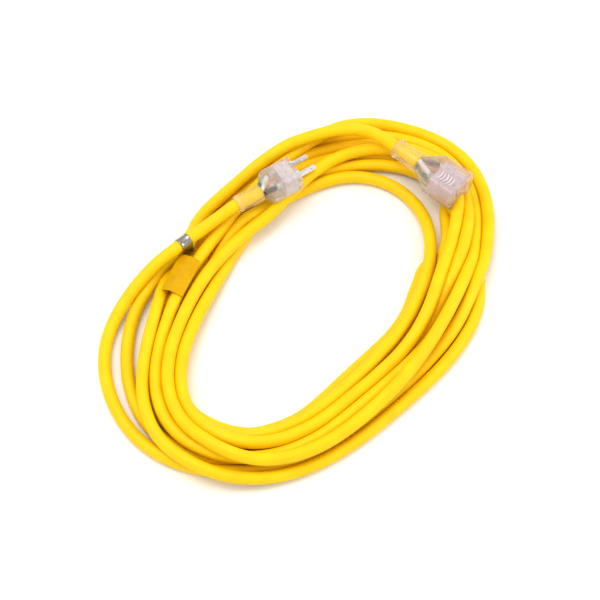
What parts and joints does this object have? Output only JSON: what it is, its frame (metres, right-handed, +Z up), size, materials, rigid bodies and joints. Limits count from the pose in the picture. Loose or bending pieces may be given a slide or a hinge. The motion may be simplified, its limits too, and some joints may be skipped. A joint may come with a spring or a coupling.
{
  "type": "extension cord",
  "caption": "Heavy-duty outdoor extension cord in an oval coil, with a clear moulded plug and a clear moulded connector lying on top",
  "frame": {"origin": "middle of the bounding box's underside, on the surface that the coil lies on", "axes": "+X along the coil's long axis, towards the end where the connector lies; +Y across the coil, towards the side where the plug lies; +Z up"},
  "size_m": [0.403, 0.267, 0.0476],
  "materials": {
    "yellow_jacket": "smooth glossy PVC jacket",
    "clear_pvc": "soft clear moulded PVC, slightly mauve",
    "insert_plastic": "smooth moulded plastic inside the clear ends",
    "blade_metal": "nickel-plated brass",
    "contact_brass": "bare spring brass",
    "crimp_metal": "tin-plated crimp barrels",
    "copper": "bare stranded copper",
    "black_insulation": "PVC insulation",
    "white_insulation": "PVC insulation",
    "green_insulation": "PVC insulation",
    "band_metal": "thin bright metal band",
    "label_vinyl": "blank yellow flag label"
  },
  "bodies": {
    "coil": {"cord_coil": "yellow_jacket", "banded_cord": "yellow_jacket", "lead_cord": "yellow_jacket", "metal_band": "band_metal", "flag_label": "label_vinyl"},
    "plug_end": {"plug_tail_cord": "yellow_jacket", "plug_jacket_end": "yellow_jacket", "plug_body": "clear_pvc", "plug_insert": "insert_plastic", "line_blade": "blade_metal", "neutral_blade": "blade_metal", "ground_pin": "blade_metal", "plug_crimps": "crimp_metal", "plug_strands": "copper", "plug_black_wire": "black_insulation", "plug_white_wire": "white_insulation", "plug_green_wire": "green_insulation"},
    "connector_end": {"connector_tail_cord": "yellow_jacket", "connector_jacket_end": "yellow_jacket", "connector_body": "clear_pvc", "contact_carrier": "insert_plastic", "line_contact": "contact_brass", "neutral_contact": "contact_brass", "ground_contact": "contact_brass", "connector_crimps": "crimp_metal", "connector_strands": "copper", "connector_black_wire": "black_insulation", "connector_white_wire": "white_insulation", "connector_green_wire": "green_insulation"}
  },
  "joints": [
    {"name": "plug_lift", "type": "hinge", "parent": "coil", "child": "plug_end", "pos_m": [-0.03585, 0.10658, 0.0327], "axis": [-0.0995, -0.995, 0], "range_deg": [0, 40]},
    {"name": "connector_lift", "type": "hinge", "parent": "coil", "child": "connector_end", "pos_m": [0.14707, 0.07225, 0.03507], "axis": [-0.9222, -0.3867, 0], "range_deg": [0, 40]}
  ]
}
